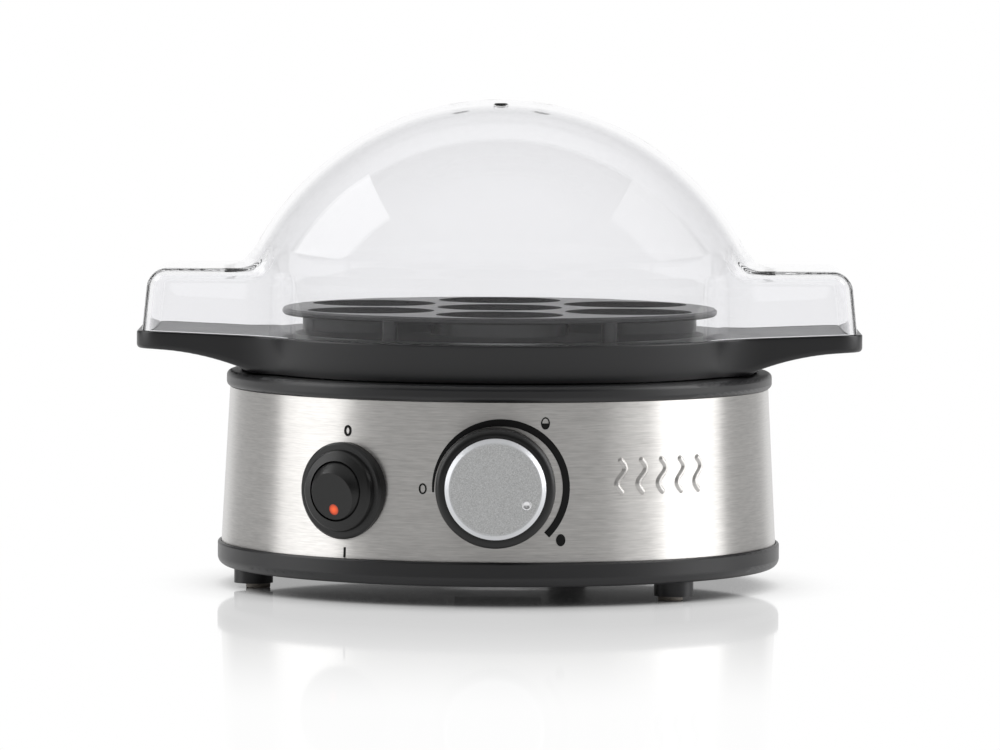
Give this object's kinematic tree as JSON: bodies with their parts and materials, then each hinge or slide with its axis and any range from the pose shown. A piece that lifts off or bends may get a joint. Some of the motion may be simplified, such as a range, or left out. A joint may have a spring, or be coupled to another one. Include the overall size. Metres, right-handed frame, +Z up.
{
  "type": "egg cooker",
  "caption": "Electric egg cooker: round steel body with a dial knob and a lit rocker switch, black steam tray with two ears, egg rack and clear domed lid that lift off.",
  "frame": {"origin": "on the table, under the middle of the round body", "axes": "+Z up, the knob and switch face -Y, the ears reach along X"},
  "size_m": [0.2302, 0.1952, 0.1555],
  "materials": {
    "black_plastic": "fine satin grain",
    "tray_black": "satin",
    "switch_black": "semi gloss",
    "brushed_band": "brushed round the body",
    "dish_metal": "dark non-stick coat",
    "heater_tube": "dull drawn tube",
    "zinc_steel": "zinc plated",
    "ceramic": "unglazed",
    "phenolic": "moulded",
    "silicone": "matt",
    "board_green": "solder mask",
    "brass_tabs": "stamped",
    "black_ink": "pad print",
    "pad_rubber": "smooth",
    "clear_plastic": "clear, polished",
    "silver_satin": "satin silver",
    "silver_bright": "polished",
    "lens_orange": "clear orange",
    "lamp_glow": "lit neon lamp"
  },
  "bodies": {
    "root": {"base_pan": "black_plastic", "base_screws": "zinc_steel", "steel_band": "brushed_band", "top_ring": "black_plastic", "heating_dish": "dish_metal", "heating_element": "heater_tube", "element_terminals": "ceramic", "element_clamp": "zinc_steel", "clamp_nuts": "zinc_steel", "thermostat": "phenolic", "thermal_fuse": "ceramic", "dish_seal": "silicone", "control_board": "board_green", "cooking_control": "phenolic", "shaft_nut": "zinc_steel", "relay": "phenolic", "buzzer": "black_plastic", "capacitors": "phenolic", "switch_bezel": "switch_black", "switch_housing": "switch_black", "switch_terminals": "brass_tabs", "dial_print": "black_ink", "switch_print": "black_ink", "cord_gland": "black_plastic", "gland_nut": "black_plastic", "foot_pad_left": "pad_rubber", "foot_pad_right": "pad_rubber", "foot_pad_rear": "pad_rubber"},
    "tray": {"steam_tray": "tray_black"},
    "rack": {"egg_rack": "tray_black"},
    "lid": {"lid": "clear_plastic"},
    "knob": {"knob_body": "switch_black", "knob_cap": "silver_satin", "knob_pointer": "silver_bright", "control_shaft": "zinc_steel"},
    "rocker": {"rocker": "switch_black", "rocker_lens": "lens_orange", "neon_lamp": "lamp_glow"}
  },
  "joints": [
    {"name": "tray_lift", "type": "slide", "parent": "root", "child": "tray", "axis": [0, 0, 1], "range_m": [0, 0.05]},
    {"name": "rack_lift", "type": "slide", "parent": "tray", "child": "rack", "axis": [0, 0, 1], "range_m": [0, 0.06]},
    {"name": "lid_lift", "type": "slide", "parent": "rack", "child": "lid", "axis": [0, 0, 1], "range_m": [0, 0.12]},
    {"name": "knob_turn", "type": "hinge", "parent": "root", "child": "knob", "pos_m": [-0.001, -0.09, 0.0374], "axis": [0, -1, 0], "range_deg": [-18.1, 206.3]},
    {"name": "rocker_tilt", "type": "hinge", "parent": "root", "child": "rocker", "pos_m": [-0.04792, -0.0724, 0.0351], "axis": [0.8339, -0.5519, 0], "range_deg": [-24, 0]}
  ]
}
